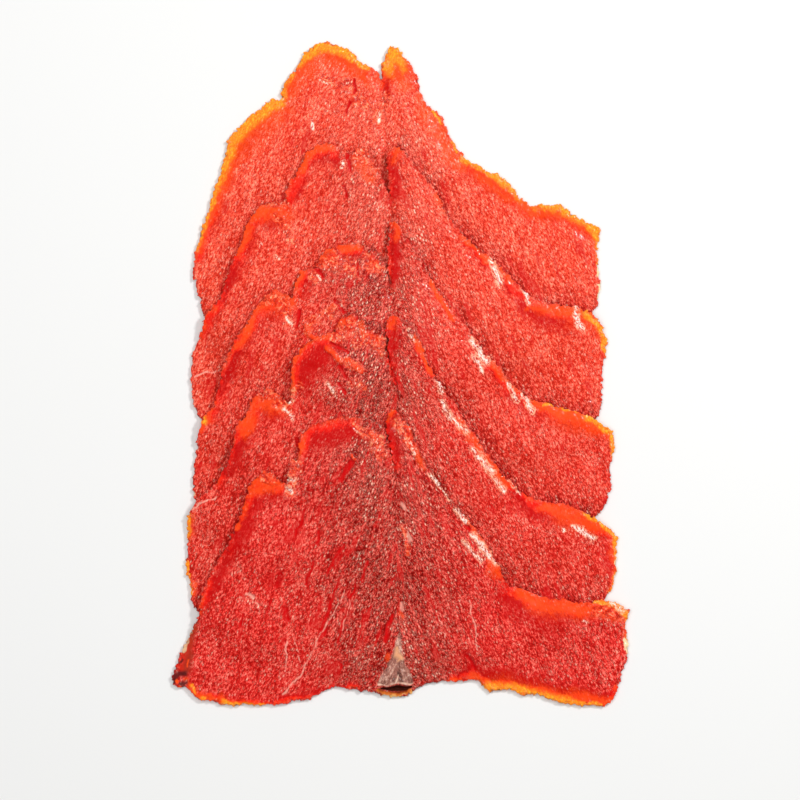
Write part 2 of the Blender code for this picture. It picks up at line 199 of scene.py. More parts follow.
tailSlice = {
    "node": "slice_1",
    "seed": 1, "cuts": 5, "tail": 1.0, "dusk": 0.2,
    "notch": [(-4.7, 192), (-4.7, 189)],
    "gel": [
        [(-34, 187, 2.4), (-30, 193, 2.4), (-24, 197, 2.4), (-16.5, 195.5, 2.2), (-9.5, 189.5, 1.8)],
        [(-38.5, 180, 2.8), (-45, 173, 3.2), (-50, 164, 2.4), (-55, 150, 2), (-60, 135, 1.6)],
        [(-1.5, 197, 1.6), (2, 191, 2.4), (-2.5, 190, 2), (-3.5, 184, 1.4)],
        [(22, 162, 2.2), (32, 155, 2.4), (41, 148.5, 2.2), (51, 147, 2.2), (59, 142, 2)],
    ],
    "deep": [[(-3, 187, 1.2), (-3.8, 182, 1)]],
    "warm": [
        [(-34, 184, 3.4), (-30, 190, 3.4), (-24, 194, 3.4), (-16.5, 194.5, 3.4), (-9.5, 189, 2.6)],
        [(-37, 178, 3.8), (-45, 172, 3.8), (-50, 162, 3), (-55, 149, 1.8)],
        [(0, 192, 3), (2, 187, 2.4)], [(8, 183, 2.4), (11, 175, 2.8), (16, 166, 2.4), (20, 161, 1.4)],
        [(24, 160, 2), (32, 154, 2), (42, 148, 2.4), (52, 147, 2.4), (59, 142, 1.8)],
        [(62, 128, 1.2), (61, 124, 1.2)],
    ],
    "amber": [
        [(-35.5, 184, 1.6), (-31.5, 192, 1.6), (-25, 197.5, 2.2), (-17, 197.5, 1.6), (-9, 191.5, 0.8)],
        [(-36, 181.5, 2.4), (-39.5, 180, 3.4), (-46, 174, 3.4), (-51, 166, 2.2), (-55, 154, 1.3),
         (-60.5, 138, 1)],
        [(-1.5, 198.5, 3), (-0.8, 192.5, 3), (0.6, 189, 1.2)],
        [(10.5, 178.5, 0.35), (13.5, 174.5, 0.3)], [(16.5, 169, 0.4), (18, 166.5, 0.4)],
        [(21, 164.5, 1.6), (24, 164, 2), (33, 157.5, 1.8), (42, 151.5, 2), (50, 150.5, 2.2),
         (60, 143.5, 1.7), (61, 132, 0.5)],
    ],
    "torn": [
        [(-22, 189, 1), (-17.5, 186, 1)], [(-15, 187, 1.4), (-12, 182, 1.8), (-8, 180, 1.5)],
        [(-4, 183, 1.2), (-5.5, 176, 1.2)],
    ],
    "sheen": [
        [(-25.5, 176, 0.5), (-25, 173, 0.5)], [(-5, 178.5, 0.5), (-5.5, 175, 0.5)],
        [(-23, 188, 0.4), (-21, 186.5, 0.4)],
    ],
    "wet": [[(-20, 180, 2), (-12, 176, 3)], [(5, 170, 3), (12, 162, 3)]],
    "cream": [[(60.3, 132.5, 0.4), (61, 127, 0.5), (60.6, 123, 0.5)]],
    "gash": [[(-14.5, 181.5, 0.6), (-15, 178.5, 0.5)], [(-12.6, 188, 0.4), (-12.8, 184, 0.5)]],
    "fold": [],
    "thread": [],
}

secondSlice = {
    "node": "slice_2",
    "seed": 2, "cuts": 5, "tail": 0.75, "dusk": 0.45,
    "notch": [(-4.4, 163.5), (-3.4, 159), (-2.9, 156), (-2.2, 152.5)],
    "gel": [
        [(-32, 151, 1.5), (-29.5, 158, 2.4), (-26.5, 163.5, 3.2), (-21.5, 165.5, 3), (-18, 163, 1.6)],
        [(-42.6, 147, 4), (-37, 147, 4), (-34, 145, 2.6)],
        [(-44.1, 144, 3.2), (-47.1, 136, 2.6), (-49.5, 130, 2.2), (-53.5, 120, 1.8), (-59, 111, 1.4)],
        [(-0.8, 167.5, 1.6), (-1, 160, 1.9), (-1.2, 153, 1.2)], [(20.5, 139.5, 0.9), (27, 133, 1.2)],
        [(32, 128.5, 1), (38.4, 121, 2), (44, 117.4, 3.4), (49, 116.6, 3.6), (54, 116.4, 3)],
    ],
    "deep": [
        [(-0.8, 165, 1.6), (-1, 160, 2), (-1.2, 153, 1.2)], [(-23, 160.5, 1.5), (-20, 161.5, 1.2)],
        [(-48.5, 133, 1.7), (-53.5, 121, 1.5)],
    ],
    "warm": [
        [(-28, 161, 1.2), (-24, 167, 1.8), (-19, 168, 1.4)], [(-12, 165, 1.8), (-8, 158, 1.6)],
        [(-0.6, 168.5, 1.5), (-0.6, 163.5, 1)],
        [(-42.6, 148.5, 3.6), (-37.5, 149, 3.8), (-33, 146, 2.6)], [(-45, 142.5, 2.2), (-47, 137, 1.2)],
        [(11.7, 152.7, 0.9), (15, 147.6, 1.1)],
        [(40, 120.5, 1.4), (46, 119, 2.2), (51, 118, 3.4), (57, 116.7, 3.2)],
        [(20, 141, 1), (27, 135, 1.4), (34, 128.5, 1.3)],
    ],
    "amber": [
        [(56, 118.5, 0.8), (61.5, 113, 0.9), (62.7, 104, 0.5), (62.5, 96, 0.4)],
        [(-23.5, 169.3, 0.7), (-21.5, 169.8, 0.7)],
    ],
    "torn": [
        [(-13.5, 165, 1.4), (-10, 164.5, 1.6), (-8, 160, 1.4)],
        [(-36, 147, 1.4), (-33, 143, 2), (-31, 140, 1.4)], [(-40, 151.5, 0.9), (-33, 150.5, 0.9)],
        [(13, 151, 0.8), (15.5, 146.5, 0.8)],
    ],
    "sheen": [
        [(28.3, 134, 1), (31, 127, 1.2)], [(36.5, 128, 0.8), (39.5, 121.5, 1)],
        [(53.2, 121, 0.9), (54.2, 115, 1.3), (55.2, 113.5, 1.1)],
        [(-16.5, 163.5, 0.4), (-16.5, 161.5, 0.4)], [(-40.8, 139.2, 0.3), (-40.2, 138.6, 0.3)],
        [(-36, 135, 0.4), (-34.8, 134, 0.4)],
    ],
    "wet": [[(-12, 158, 3), (-8, 148, 4), (-5, 141, 3)], [(4, 150, 2.5), (8, 140, 4)]],
    "cream": [[(62.5, 105, 0.3), (62.3, 96, 0.3)]],
    "gash": [[(-14.8, 165.5, 0.8), (-14.2, 160.5, 0.6)], [(-15.5, 156, 0.5), (-15, 153, 0.5)]],
    "fold": [],
    "thread": [[(-61, 99, 0.25), (-57, 100.5, 0.2), (-53, 101, 0.15)]],
}

thirdSlice = {
    "node": "slice_3",
    "seed": 3, "cuts": 5, "tail": 0.4, "dusk": 0.85,
    "notch": [(-3.9, 137), (-3.2, 132), (-2.3, 129), (-1.8, 125)],
    "gel": [
        [(-28.5, 126, 2.6), (-27, 128, 2.8)], [(-23, 133, 1.4), (-19.5, 135.5, 1.8)],
        [(-15, 136.5, 1.8), (-11, 136.5, 1.2)], [(-8, 134.5, 1), (-6.5, 132, 0.8)],
        [(-42, 119, 3.6), (-36, 121, 3.6)],
        [(-43.5, 115, 3.4), (-47.5, 109, 2.8), (-50, 102, 2.4), (-53.5, 94, 2), (-59, 83, 1.4)],
        [(-0.9, 144.5, 1.5), (-0.6, 138.6, 2.1), (-0.6, 132, 1.8), (-1, 127, 1)],
        [(10, 126.5, 0.9), (17, 117.5, 1.1)],
        [(28, 102, 1), (34, 94.5, 1.4), (41.5, 90, 2.4), (48, 88, 3.4), (56, 86, 3.4), (61, 84, 2.4)],
    ],
    "deep": [
        [(-0.9, 143.7, 1.8), (-0.3, 138.6, 2.1), (0, 132, 1.8), (-0.6, 127, 1)],
        [(-25.5, 124.5, 1.6), (-25, 126.5, 1.2)], [(-48, 105, 1.7), (-53.5, 94, 1.5)],
        [(34, 93.5, 1.2), (39, 88, 1.2)],
    ],
    "warm": [
        [(-30.5, 126, 1.8), (-28, 130.5, 1.8)], [(-0.8, 145, 1.6), (-0.2, 141, 1.2)],
        [(-22.5, 133.5, 1.2), (-19.5, 136.5, 1.2)], [(-15.5, 137.5, 1.2), (-11.5, 137.5, 1)],
        [(-8, 134, 1), (-6, 131, 0.9)], [(-40.5, 120.5, 3.4), (-36.6, 122, 3.6), (-33, 121, 2.6)],
        [(-44.1, 114.6, 2.4), (-47.1, 109, 1.4)], [(-26.5, 112, 1), (-24, 116, 1)],
        [(-21, 117.5, 1.2), (-18.5, 120, 1.2)],
        [(43.5, 90, 2.4), (48.9, 88.2, 4), (54.9, 86.1, 4), (60.9, 84, 3), (64.5, 82.5, 1.6)],
        [(10, 127, 0.8), (17, 117, 1)], [(26, 105.5, 1), (35, 96.5, 1.4), (41, 91, 1.8)],
    ],
    "amber": [
        [(44, 91, 0.5), (48, 90.2, 0.6), (54, 88.6, 0.7)],
        [(57, 87, 1), (60, 85.5, 1.3), (65, 81.5, 1), (64.8, 72, 0.4), (65, 64, 0.3)],
        [(-60.3, 90.5, 0.4), (-59.5, 88, 0.8), (-57.6, 85.8, 1)],
    ],
    "torn": [
        [(-24.5, 129.5, 0.9), (-23.5, 127, 0.9)], [(-23, 131.5, 1.8), (-19, 134, 2.2)],
        [(-15.5, 133, 2.2), (-12, 131, 1.8)], [(-9.5, 135, 1.4), (-6.5, 131, 1.4)],
        [(-42, 121, 1.4), (-36, 122, 2.2), (-33, 117, 1.8)], [(-21, 117, 1.2), (-17, 120, 1.2)],
        [(-27, 111, 1.2), (-24, 116, 1.2)],
    ],
    "sheen": [
        [(22.5, 110, 1), (27, 103.5, 1.4)], [(23, 105, 0.7), (25.5, 100.5, 0.8)],
        [(33, 97, 0.8), (35.5, 92, 1)], [(37.4, 94, 0.9), (40.4, 89, 1.1)],
        [(43.8, 93, 0.5), (44.2, 92, 0.5)], [(-23.5, 128.8, 0.5), (-23, 127.5, 0.4)],
        [(-16.8, 120.5, 0.4), (-16.2, 120, 0.4)], [(-33, 116.5, 0.6), (-31.5, 115, 0.6)],
    ],
    "wet": [
        [(-19, 129, 2.4), (-8, 127, 3)], [(-14, 124, 3), (-8, 119, 4), (-5, 112, 3)],
        [(4, 125, 3), (8, 112, 4)],
    ],
    "cream": [[(65, 72, 0.25), (64.5, 64, 0.3)], [(-61.5, 66, 0.35), (-60.6, 63, 0.4)]],
    "gash": [
        [(-24.5, 132, 0.6), (-22, 128.5, 0.6)], [(-11.7, 133, 0.35), (-11.7, 129, 0.4)],
        [(-18, 121.5, 0.7), (-15.5, 118.5, 0.6)], [(-29, 119, 0.6), (-30, 114, 0.6)],
    ],
    "fold": [[(-27, 114, 0.7), (-24.5, 109.5, 0.7)]],
    "thread": [],
}

fourthSlice = {
    "node": "slice_4",
    "seed": 4, "cuts": 5, "tail": 0.2, "dusk": 1.0,
    "notch": [(-3.9, 115), (-3.1, 108), (-2.2, 103), (-0.9, 97.5)],
    "gel": [
        [(-30, 96, 2.2), (-27.5, 101.5, 5), (-23.5, 105, 4.4), (-19.5, 108.5, 2.6)],
        [(-16.5, 115, 1.5), (-14, 114, 1.4)], [(-8, 112, 0.9), (-6, 109.5, 0.8)],
        [(-41.5, 91, 4.4), (-36, 90, 4.4)],
        [(-43.5, 88, 3.6), (-46.5, 81, 3), (-49.5, 72.5, 2.5), (-53.5, 67, 1.6)],
        [(-1, 116.5, 1.7), (-1, 108, 2), (-0.6, 98, 1.2)], [(5, 108.5, 1), (10.5, 100, 1.1)],
        [(29.5, 71.5, 1), (36, 63.5, 1.8), (43, 59.5, 3.2), (49.5, 58, 3.4), (56, 55.5, 2.8),
         (62, 52, 1.8)],
    ],
    "deep": [
        [(-0.6, 116.5, 1.8), (-0.6, 110, 2), (-0.6, 104, 1.5), (-0.4, 97, 0.9)],
        [(-25.5, 100, 2.4), (-21, 104, 2.4)], [(-47.5, 77, 2), (-50.5, 70, 1.8)],
        [(34, 64, 1.2), (40, 57.5, 1.2)],
    ],
    "warm": [
        [(-31, 95, 1), (-32, 102, 1.2), (-27.5, 109, 1.4), (-20, 112, 1.2)],
        [(-17.5, 114, 1.2), (-14, 115.5, 1.2)], [(-11, 114, 1), (-9, 111.5, 1.2)],
        [(-7, 111, 0.8), (-5.5, 107, 0.8)], [(-1, 118, 1.5), (-0.8, 114, 1)],
        [(-40.5, 92, 3.8), (-36.6, 91.5, 4), (-33.6, 89.5, 2.4)], [(-44.1, 86, 2.6), (-46.2, 81, 1.4)],
        [(44, 60, 1.6), (49, 58, 2.8), (54, 56.1, 3.2), (60.9, 54, 2.6)],
        [(4.5, 110.5, 0.8), (10, 101, 1)], [(18, 86, 0.9), (27.5, 73, 1.3), (31.5, 66.5, 1.6)],
    ],
    "amber": [
        [(56, 58, 0.5), (61, 55.5, 0.9), (65.5, 51.5, 1), (65.8, 42, 0.5), (64, 34, 0.5)],
        [(-62.4, 58, 0.5), (-62.4, 53, 0.7), (-63, 50, 0.3)], [(-63, 43, 0.5), (-61.5, 34, 0.5)],
        [(-41.5, 95.5, 0.5), (-40, 96.5, 0.6)],
    ],
    "torn": [
        [(-31, 94, 1.2), (-29, 96, 1)], [(-18.5, 110.5, 1.6), (-14.5, 113.5, 2.2)],
        [(-12, 110, 2), (-8, 110, 2.2), (-5.5, 107, 1.6)],
        [(-41, 94.5, 1.4), (-36, 93.5, 1.4), (-33, 90, 1.8)], [(-15, 104, 0.9), (-10.5, 101, 0.9)],
        [(-13, 97.5, 1.2), (-9.5, 96, 1)],
    ],
    "sheen": [
        [(3.3, 113, 0.6), (4.8, 110, 0.7)], [(11.7, 98, 0.5), (13.5, 94.5, 0.6)],
        [(13, 92, 0.6), (15, 88.5, 0.9)], [(15.5, 87.5, 0.9), (20.5, 82.5, 1)],
        [(22.5, 77.5, 1), (28.5, 70.5, 1.3)], [(29.5, 68.5, 0.9), (32, 65, 1)],
        [(33.5, 68.5, 0.9), (36.5, 65, 1)], [(49.5, 53.8, 0.6), (50, 53.2, 0.6)],
        [(53, 54.5, 0.9), (58.5, 50.5, 1)], [(-33.2, 94.5, 0.6), (-31.8, 92, 0.8)],
        [(-33.5, 89.5, 0.8), (-31, 86.5, 0.6)], [(-21, 97, 0.6), (-19, 94.5, 0.6)],
    ],
    "wet": [
        [(-22, 99, 2), (-16, 94, 4)], [(-14, 109, 2.4), (-8, 104, 3.5), (-5, 92, 4)],
        [(3, 102, 2), (5, 92, 4), (9, 82, 4)],
    ],
    "cream": [[(-61.2, 63.5, 0.5), (-61.8, 60, 0.4)], [(65.5, 45, 0.25), (65.3, 38, 0.3)]],
    "gash": [
        [(-20, 109, 0.5), (-14.5, 106.5, 0.5)], [(-17, 102, 0.7), (-14.5, 98, 0.6)],
        [(-17, 97, 0.6), (-15.5, 94.5, 0.6)], [(-40.5, 64, 0.5), (-42, 60, 0.5)],
        [(-30, 80, 0.8), (-28.5, 76, 0.8)],
    ],
    "fold": [[(-20.7, 107.7, 0.8), (-16.8, 103.6, 0.9)], [(-15, 104.4, 0.8), (-10.8, 100.9, 0.9)]],
    "thread": [
        [(-62, 59, 0.25), (-58, 61.5, 0.2), (-54, 63, 0.15)], [(-60.5, 67.5, 0.2), (-57, 68.5, 0.15)],
    ],
}

heelSlice = {
    "node": "slice_5",
    "seed": 5, "cuts": 4, "tail": 0.0, "dusk": 1.0,
    "notch": [(-3.6, 85.5), (-2.7, 81), (-2, 77), (-1.1, 73.5), (0.2, 69.5)],
    "gel": [
        [(-28, 77, 2.4), (-26, 80.5, 3.6), (-21.5, 82, 4.6), (-16.5, 82.5, 4.2), (-13, 84, 2.4)],
        [(-41.5, 67.5, 4.2), (-37, 66, 3.8)],
        [(-43.5, 62, 3.6), (-46.5, 56, 3.2), (-49.5, 48, 2.6), (-53.5, 38.5, 1.9), (-59, 29.5, 1.1)],
        [(-1.8, 88.5, 1.7), (-1.2, 80, 2.1), (0.2, 71.5, 1.3)], [(3, 84.5, 1.1), (6, 78, 1.2)],
        [(30, 41, 1.2), (33, 37, 1.6)],
        [(33.5, 34, 2.8), (38, 31, 5.2), (45, 29.2, 5.4), (52, 28.5, 4), (58, 29.5, 2.6), (65, 29.5, 2)],
        [(14.5, 8.5, 1), (22, 10.5, 2), (27, 9.5, 2.6), (33, 8, 3), (40, 6, 3), (47, 4.5, 2.6),
         (55, 3, 2.4), (62, 2.5, 2.2), (66, 6, 1.4)],
        [(-61.5, 5, 0.8), (-57, 2.6, 1), (-50, 1.4, 1), (-38, 1.6, 0.9), (-25, 4.2, 0.8),
         (-12, 6.2, 0.8)],
        [(-60.8, 24, 0.8), (-62.6, 17.5, 1.4), (-64, 10.5, 1.8)],
    ],
    "deep": [
        [(-1.6, 88.5, 1.7), (-0.9, 82, 2), (-0.7, 76, 1.4), (-0.2, 71, 0.9)],
        [(-23, 77.5, 2.4), (-17, 78.5, 2.6), (-13.5, 80, 1.6)],
        [(33, 32.5, 1.2), (36.5, 28, 1.5), (44.4, 25.2, 1.5), (50, 25, 1)],
        [(30, 41, 1.2), (33, 37, 1.4)], [(-45.5, 59, 1.6), (-49.5, 50, 2), (-54, 39, 1.6)],
        [(18.5, 11, 1), (21, 12.3, 1.6)],
        [(26, 10.6, 0.8), (36, 8.4, 0.9), (50, 5.6, 0.9), (62, 4.4, 0.9)],
        [(-40, 3.2, 0.9), (-25, 5, 0.9), (-12, 7, 0.9), (-6, 6.8, 0.6)],
        [(0.2, 27.5, 0.7), (-0.4, 22, 0.7)],
    ],
    "warm": [
        [(-29.5, 75, 1.2), (-28, 79, 1)], [(-2.4, 90, 1.6), (-2.2, 86.5, 1)],
        [(-40.5, 68.5, 3.4), (-37.5, 67.5, 3.2), (-42.3, 65, 2.2)], [(-45.5, 60, 1.4), (-47.7, 55, 1)],
        [(20, 58, 0.9), (23.5, 53.5, 1.3), (28.5, 46, 1.1), (29.5, 41.5, 2.2)],
        [(3.4, 82, 0.7), (8, 72.5, 0.9)],
        [(36.5, 33.6, 1.8), (40.5, 31.6, 3.2), (46.4, 30, 3.6), (53.6, 29.4, 3.2), (60.9, 29.1, 2.4),
         (66, 28, 1.6)],
        [(1.4, 28.6, 0.6), (1.3, 27.6, 0.5)], [(3.6, 49, 0.7), (3.4, 46.5, 0.7)],
        [(-2.2, 16.4, 0.8), (-3, 14.4, 0.5)], [(14.5, 8, 0.8), (18, 8.4, 1)],
        [(23, 8, 2), (30, 6.5, 2.8), (42, 4.5, 2.6), (54, 2.5, 2.4), (64, 2, 1.6)],
        [(-62.6, 7.6, 0.9), (-59, 3.6, 1.1), (-55, 1.4, 1), (-48, 0.8, 0.8)],
    ],
    "amber": [
        [(22.5, 7, 0.6), (26.5, 5.5, 1.9), (33, 6, 1.6), (42, 4, 1.5), (50, 1.6, 1.6), (56, 1, 0.8)],
        [(58, 0.8, 0.7), (61, 0.8, 0.7)],
        [(-51.8, 1.6, 0.9), (-50, 0.6, 0.9), (-46, 0.6, 0.7), (-40, 0.8, 0.3)],
        [(-61.5, 6.4, 0.4), (-60.5, 4.8, 0.4)], [(-58.2, 2.6, 0.5), (-57.6, 1.2, 0.4)],
        [(-62, 23.2, 0.4), (-61.8, 22.4, 0.3)],
        [(58, 32.5, 0.6), (62.5, 31.5, 0.8), (66.5, 30.5, 1.2), (69.2, 27, 0.6), (69.3, 17, 0.4)],
        [(-41.5, 71.6, 0.5), (-40, 73, 0.6)],
    ],
    "torn": [
        [(-29.5, 73.5, 1.6), (-32, 70, 1.8), (-31, 65, 1.6)],
        [(-12.5, 84.5, 1.2), (-8, 82, 1.8), (-5, 76, 1.4)], [(1, 86, 1.4), (5, 78.5, 1.6)],
        [(-42, 70.5, 1.2), (-37, 69, 1.4)], [(60, 29, 1.6), (66, 29, 1.8)],
        [(2.5, 54, 0.8), (3.5, 48, 0.8)],
    ],
    "sheen": [
        [(3.6, 80, 0.6), (5, 76.5, 0.7)], [(10, 69.5, 0.7), (13, 66.5, 0.9)],
        [(14, 65.5, 0.7), (16.5, 62, 0.9)], [(17.5, 59.5, 0.8), (20.5, 56, 1)],
        [(22.5, 52, 0.9), (25.5, 48.5, 1.2), (29.5, 43.5, 1.1)], [(20, 50, 0.6), (25, 44, 0.8)],
        [(56, 26, 0.5), (56.6, 25.4, 0.5)], [(64, 31.5, 0.9), (67.5, 29, 1)],
        [(-34, 71, 0.8), (-30.8, 68.5, 1)], [(-32.5, 65.8, 0.8), (-31, 64.5, 0.7)],
        [(-12, 83, 0.4), (-11, 82, 0.4)],
    ],
    "wet": [
        [(-14, 79, 2), (-9, 74, 3.5), (-6, 60, 4)], [(3, 68, 3), (6, 55, 4)],
        [(-45, 33, 2), (-42, 31, 2)],
        [(1.8, 24.5, 1.8), (3, 17.1, 2.4), (5.4, 13.5, 3.2), (9.6, 10.8, 2.4)],
        [(-9, 18, 2.2), (-11, 13.5, 2)],
    ],
    "cream": [
        [(-61.7, 22.6, 0.35), (-62.8, 19.5, 0.4), (-64, 16.8, 0.3)],
        [(68.3, 20, 0.5), (69.3, 15.5, 0.4)],
    ],
    "gash": [
        [(-34.5, 40, 0.8), (-36, 36.5, 0.7)], [(-33.2, 30, 0.9), (-33, 26.5, 0.8)],
        [(-37.3, 32.5, 0.4), (-38.5, 29, 0.3)], [(-13, 74, 0.9), (-16.5, 69, 0.9)],
        [(-16, 49, 0.6), (-18, 46, 0.6), (-21, 40, 0.4)], [(-23, 53, 0.6), (-24, 49, 0.5)],
        [(-1.5, 28, 0.7), (-3.5, 20, 0.8)], [(21, 16, 0.9), (23, 12.5, 0.8)],
        [(-17.1, 39, 0.3), (-20.1, 30.6, 0.5), (-23.1, 21.6, 0.4)],
        [(-12, 38.1, 0.3), (-15.6, 27, 0.5), (-18, 19.5, 0.4)],
        [(-27, 60, 0.4), (-29, 55, 0.6), (-31, 50, 0.4)], [(-24.5, 44, 0.5), (-27, 37, 0.6)],
        [(-9, 44, 0.4), (-10, 38, 0.5)], [(20, 55.6, 0.7), (21.5, 53.5, 0.6)],
        [(-21.6, 23.5, 0.9), (-22, 21.5, 0.7)], [(-16.8, 14, 0.5), (-16.8, 12, 0.4)],
        [(-45.5, 28, 0.5), (-46.5, 24.5, 0.4)],
    ],
    "fold": [[(-13.5, 76, 0.4), (-12.3, 74.3, 0.4)], [(-7.5, 82.5, 0.6), (-6, 79.5, 0.6)]],
    "thread": [
        [(-15.6, 35, 0.12), (-23.7, 20, 0.18), (-29, 9.6, 0.24), (-34, 4, 0.2)],
        [(-33, 20, 0.16), (-33.3, 14, 0.2), (-34, 9, 0.14)], [(-14, 32, 0.12), (-16.5, 23, 0.16)],
        [(-30.5, 21, 0.14), (-29, 14, 0.16)], [(21.5, 32, 0.12), (23, 25, 0.16), (24, 16, 0.14)],
        [(13.5, 26, 0.1), (14.5, 19, 0.12)], [(-44.8, 34, 0.35), (-43, 33.4, 0.45)],
        [(-42.5, 32, 0.3), (-41.5, 30.5, 0.2)], [(3.3, 52, 0.6), (4, 50.5, 0.6)],
        [(1.4, 30.8, 0.6), (1.7, 29.8, 0.6)], [(1.4, 61.5, 0.5), (2, 60, 0.5)],
    ],
}

slices = [tailSlice, secondSlice, thirdSlice, fourthSlice, heelSlice]

seam = {
    "line": [(-4.8, 187.5, 1.1), (-4, 176, 0.9), (-2, 152, 1), (-1.5, 124, 1),
             (-0.6, 97, 1), (0.3, 69, 1), (0.6, 58, 0.8), (3.5, 50, 0.7), (1.8, 32, 0.6),
             (0.6, 23, 0.6)],
    "dusk": [(-10, 176, 12), (-8, 140, 13), (-8, 100, 15), (-4, 60, 18),
             (-2, 30, 20), (0, 8, 18)],
    "hemRight": 0.9, "hemLeft": 0.6, "hemReach": 4,  # painted shade, darkening the flesh beside the slice above
}

fatWedge = {
    "corners": [(0.7, 23.3), (-0.3, 19.8), (-1.6, 15.8), (-3, 12.6), (-4.8, 9.6), (-5.9, 6.8),
                (-3.4, 6.4), (-0.3, 7.1), (0.5, 7.3), (3, 6.7), (5.1, 7.3), (3.7, 10.8), (2.2, 13.8),
                (1.7, 17.1), (1.3, 20.9)],
    "wander": (1.2, 0.45), "wanderSeed": 3,
    "edge": 0.7,  # how wide its edge fades
    "tan": [[(0.4, 18, 0.3), (-0.2, 16, 0.8), (0.9, 14.8, 0.7), (0.1, 13.6, 0.2)]],
    "lobes": [[(-5.8, 6.8, 0.35), (-3, 6.6, 0.4), (-0.2, 7.3, 0.35), (2.6, 6.9, 0.4), (5, 7.4, 0.3)],
              [(0, 7.4, 0.2), (0.1, 10, 0.15)]],
    # painted shade: the hollow under the wedge's lips is coloured near black
    "cavity": [[(-4.6, 5.7, 0.25), (-2.2, 5.5, 0.6), (0.2, 5.8, 0.95), (2.6, 5.7, 0.6),
                (4.4, 6.3, 0.25)]],
    "lip": [[(-5.4, 4.9, 0.7), (-1, 3.5, 1.1), (3.8, 4.9, 0.8)]],
}

scorchedTip = {
    "scorch": [[(-67.2, 8, 0.6), (-65.8, 9.9, 1.1), (-63.8, 10.4, 0.9)],
               [(-64.6, 7, 0.7), (-63.2, 7.6, 0.6)], [(-65.6, 13, 0.3), (-64.6, 15, 0.3)]],
    "maroon": [[(-60.2, 26.5, 0.6), (-61.2, 21.5, 1), (-62.4, 16.5, 1.5), (-63.4, 11.5, 1.7)]],
    "ember": [[(-66, 8.4, 0.4), (-65.6, 7.8, 0.4)], [(-65.2, 5.8, 0.5), (-64.8, 5.2, 0.5)],
              [(-62.6, 14.5, 0.3), (-62.9, 12.5, 0.3)]],
}

brush = {
    "broad": (6.0, 1.6), "broadEdge": (1.7, 0.9), "narrow": (2.5, 0.7),  # noise of (size, reach)
    "seedStep": 7.31, "edgeSeed": 0.5,
    "rimDepth": 12.0,   # no deeper than this is told apart
    "amberHalo": 2.0,   # the warm flesh round the amber, in its radii
    "cutFaceSlope": 2.0,
}

relief = {
    "rimReach": 2.2,
    "plainRag": 0.35,
    "rimTeeth": [(3.2, 3.4, "ragged"), (1.1, 2.5, "rim")],  # (size, reach, group)
    # bumps of (size, reach)
    "scallops": (1.3, -0.7), "lumps": (5.0, 0.7), "crumbs": (1.1, 1.5), "grain": (0.8, 0.3),
    "grainOnGel": 0.2,
    "tornSlope": 1.6,
    "notchReach": 3.2, "notchPinch": 0.88, "notchEnds": (1.5, 3.0),
    # lifts and dents of (mask where it starts, slope, height)
    "gel": (0.35, 2.5, 0.1), "gash": (0.4, 2.0, -0.7), "fold": (0.2, 1.6, 0.6), "seam": (0.5, 2.0, -0.5),
    "cavity": (0.4, 2.0, -1.1),
}


# Geometry of one slice

def buildSlice(piece, marks, ring, coverRings):
    pickUp(piece)
    bpy.ops.object.mode_set(mode="EDIT")
    bpy.ops.mesh.select_all(action="SELECT")
    bpy.ops.mesh.tris_convert_to_quads()
    bpy.ops.object.mode_set(mode="OBJECT")
    applyModifier(piece, "SUBSURF", levels=1, render_levels=1)
    refineShownFaces(piece, coverRings, marks["cuts"])
    masks = marksOn(piece, marks, ring, coverRings)
    pinchNotch(piece, marks)
    shapeRelief(piece, masks)
    pickUp(piece)
    bpy.ops.object.shade_smooth()
    storeMasks(piece, masks)


def refineShownFaces(piece, coverRings, cuts):
    # only what shows of the cut face and of the rim is cut finely
    mesh = piece.data
    centres = onStack(np.array([face.center for face in mesh.polygons]))
    shown = np.array([face.normal.z > stack["shownNormal"] for face in mesh.polygons])
    for cover in coverRings:
        shown &= depthInside(cover, centres) < stack["coverDepth"]
    pickUp(piece)
    bpy.ops.object.mode_set(mode="EDIT")
    bpy.ops.mesh.select_mode(type="FACE")
    bpy.ops.mesh.select_all(action="DESELECT")
    bm = bmesh.from_edit_mesh(mesh)
    for face, wanted in zip(bm.faces, shown):
        face.select_set(bool(wanted))
    bmesh.update_edit_mesh(mesh)
    bpy.ops.mesh.subdivide(number_cuts=cuts, smoothness=0.6)
    bpy.ops.object.mode_set(mode="OBJECT")


